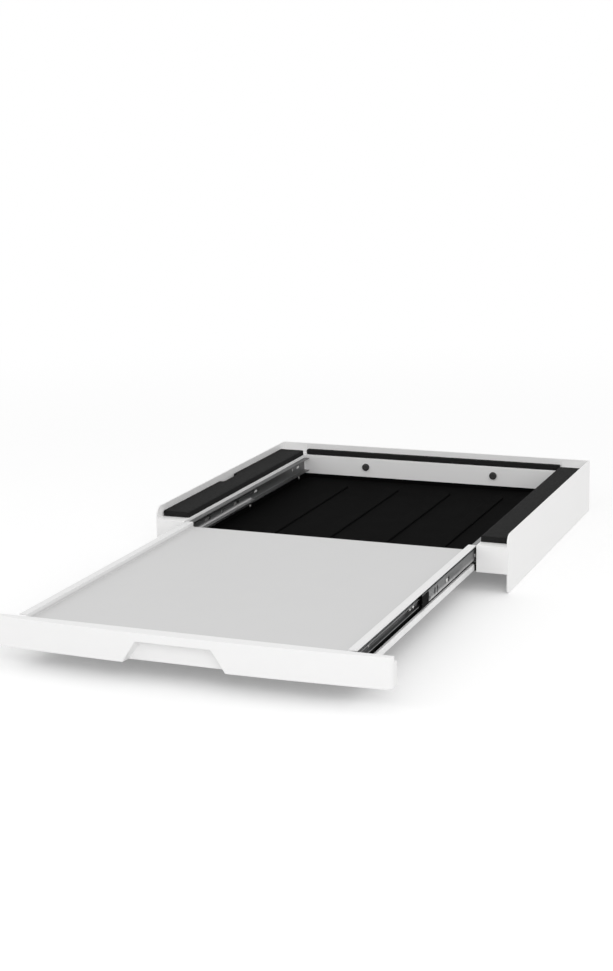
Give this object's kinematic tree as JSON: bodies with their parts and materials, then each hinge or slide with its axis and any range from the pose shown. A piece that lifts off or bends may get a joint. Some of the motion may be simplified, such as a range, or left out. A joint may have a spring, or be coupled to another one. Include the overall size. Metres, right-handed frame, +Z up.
{
  "type": "washer dryer stacking kit",
  "caption": "Frame that stacks a tumble dryer on a washing machine, with a pull-out shelf on ball-bearing slides and a ratchet strap that ties the stack together.",
  "frame": {"origin": "below the middle of the frame with its shelf fully out, on the level of the skirt's foot", "axes": "+X to the right as seen from the front, +Y from the shelf's fascia towards the rear beam, +Z up"},
  "size_m": [0.607, 1.257, 0.0945],
  "materials": {
    "frame_plastic": "fine satin grain",
    "fascia_plastic": "smooth satin gloss",
    "tray_plastic": "satin, pale grey",
    "foam": "closed-cell foam, matt",
    "pan_steel": "matt black powder coat",
    "channel_steel": "dark grey powder coat",
    "trim_steel": "white powder coat",
    "slide_steel": "bright zinc, rolled",
    "cage_steel": "bright zinc, thin sheet",
    "ball_steel": "polished",
    "screw_steel": "zinc plated",
    "black_plastic": "moulded, matt",
    "stop_rubber": "soft, matt",
    "webbing": "woven polyester, white",
    "tie_fabric": "hook-and-loop tape, black",
    "ratchet_steel": "bright zinc, pressed",
    "cover_plastic": "smooth satin gloss"
  },
  "bodies": {
    "frame": {"side_beam_right": "frame_plastic", "side_beam_left": "frame_plastic", "rear_beam": "frame_plastic", "base_pan": "pan_steel", "anti_slip_strip_right": "foam", "anti_slip_strip_left": "foam", "anti_slip_strip_rear": "foam", "washer_pad_right": "foam", "washer_pad_left": "foam", "slide_outer_right": "slide_steel", "slide_outer_left": "slide_steel", "corner_bolts": "screw_steel", "outer_slide_screws": "screw_steel", "pan_screws": "screw_steel", "rear_stops": "stop_rubber", "strap_roll": "webbing", "strap_ties": "tie_fabric", "ratchet_frame": "ratchet_steel", "ratchet_bolt": "screw_steel"},
    "shelf": {"shelf_tray": "tray_plastic", "fascia": "fascia_plastic", "fascia_back": "channel_steel", "fascia_screws": "screw_steel", "fascia_bumpers": "stop_rubber", "inner_slide_screws": "screw_steel", "side_channel_right": "channel_steel", "side_channel_left": "channel_steel", "edge_trim_right": "trim_steel", "edge_trim_left": "trim_steel", "slide_inner_right": "slide_steel", "slide_inner_left": "slide_steel", "lever_rivet_right": "screw_steel", "lever_rivet_left": "screw_steel"},
    "ratchet_handle": {"ratchet_handle": "ratchet_steel", "ratchet_cover": "cover_plastic"},
    "ratchet_spool": {"ratchet_spool": "ratchet_steel"},
    "drive_pawl": {"drive_pawl": "screw_steel"},
    "lock_pawl": {"lock_pawl": "screw_steel"},
    "slide_mid_right": {"slide_mid_right": "slide_steel", "mid_buffer_right": "black_plastic"},
    "outer_cage_right": {"outer_cage_right": "cage_steel", "outer_balls_right": "ball_steel"},
    "inner_cage_right": {"inner_cage_right": "cage_steel", "inner_balls_right": "ball_steel"},
    "lever_right": {"release_lever_right": "black_plastic"},
    "slide_mid_left": {"slide_mid_left": "slide_steel", "mid_buffer_left": "black_plastic"},
    "outer_cage_left": {"outer_cage_left": "cage_steel", "outer_balls_left": "ball_steel"},
    "inner_cage_left": {"inner_cage_left": "cage_steel", "inner_balls_left": "ball_steel"},
    "lever_left": {"release_lever_left": "black_plastic"}
  },
  "joints": [
    {"name": "shelf_slide", "type": "slide", "parent": "frame", "child": "shelf", "axis": [0, 1, 0], "range_m": [0, 0.53]},
    {"name": "slide_mid_right", "type": "slide", "parent": "frame", "child": "slide_mid_right", "axis": [0, 1, 0], "range_m": [0, 0.265]},
    {"name": "outer_cage_right", "type": "slide", "parent": "frame", "child": "outer_cage_right", "axis": [0, 1, 0], "range_m": [0, 0.1325]},
    {"name": "inner_cage_right", "type": "slide", "parent": "frame", "child": "inner_cage_right", "axis": [0, 1, 0], "range_m": [0, 0.3975]},
    {"name": "lever_right", "type": "hinge", "parent": "shelf", "child": "lever_right", "pos_m": [0.2418, -0.291, 0.058], "axis": [1, 0, 0], "range_deg": [-4, 4], "stiffness_Nm_per_rad": 0.05},
    {"name": "slide_mid_left", "type": "slide", "parent": "frame", "child": "slide_mid_left", "axis": [0, 1, 0], "range_m": [0, 0.265]},
    {"name": "outer_cage_left", "type": "slide", "parent": "frame", "child": "outer_cage_left", "axis": [0, 1, 0], "range_m": [0, 0.1325]},
    {"name": "inner_cage_left", "type": "slide", "parent": "frame", "child": "inner_cage_left", "axis": [0, 1, 0], "range_m": [0, 0.3975]},
    {"name": "lever_left", "type": "hinge", "parent": "shelf", "child": "lever_left", "pos_m": [-0.2418, -0.291, 0.058], "axis": [1, 0, 0], "range_deg": [-4, 4], "stiffness_Nm_per_rad": 0.05},
    {"name": "ratchet_handle", "type": "hinge", "parent": "frame", "child": "ratchet_handle", "pos_m": [-0.118, 0.5708, 0.0273], "axis": [0, 0, 1], "range_deg": [0, 110]},
    {"name": "ratchet_spool", "type": "hinge", "parent": "frame", "child": "ratchet_spool", "pos_m": [-0.118, 0.5708, 0.0273], "axis": [0, 0, 1], "continuous": true},
    {"name": "drive_pawl", "type": "slide", "parent": "ratchet_handle", "child": "drive_pawl", "axis": [1, 0, 0], "range_m": [0, 0.005], "stiffness_N_per_m": 200},
    {"name": "lock_pawl", "type": "slide", "parent": "frame", "child": "lock_pawl", "axis": [1, 0, 0], "range_m": [0, 0.005], "stiffness_N_per_m": 200}
  ],
  "couplings": [
    {"joint": "slide_mid_right", "follows": "shelf_slide", "ratio": 0.5},
    {"joint": "outer_cage_right", "follows": "shelf_slide", "ratio": 0.25},
    {"joint": "inner_cage_right", "follows": "shelf_slide", "ratio": 0.75},
    {"joint": "slide_mid_left", "follows": "shelf_slide", "ratio": 0.5},
    {"joint": "outer_cage_left", "follows": "shelf_slide", "ratio": 0.25},
    {"joint": "inner_cage_left", "follows": "shelf_slide", "ratio": 0.75}
  ]
}
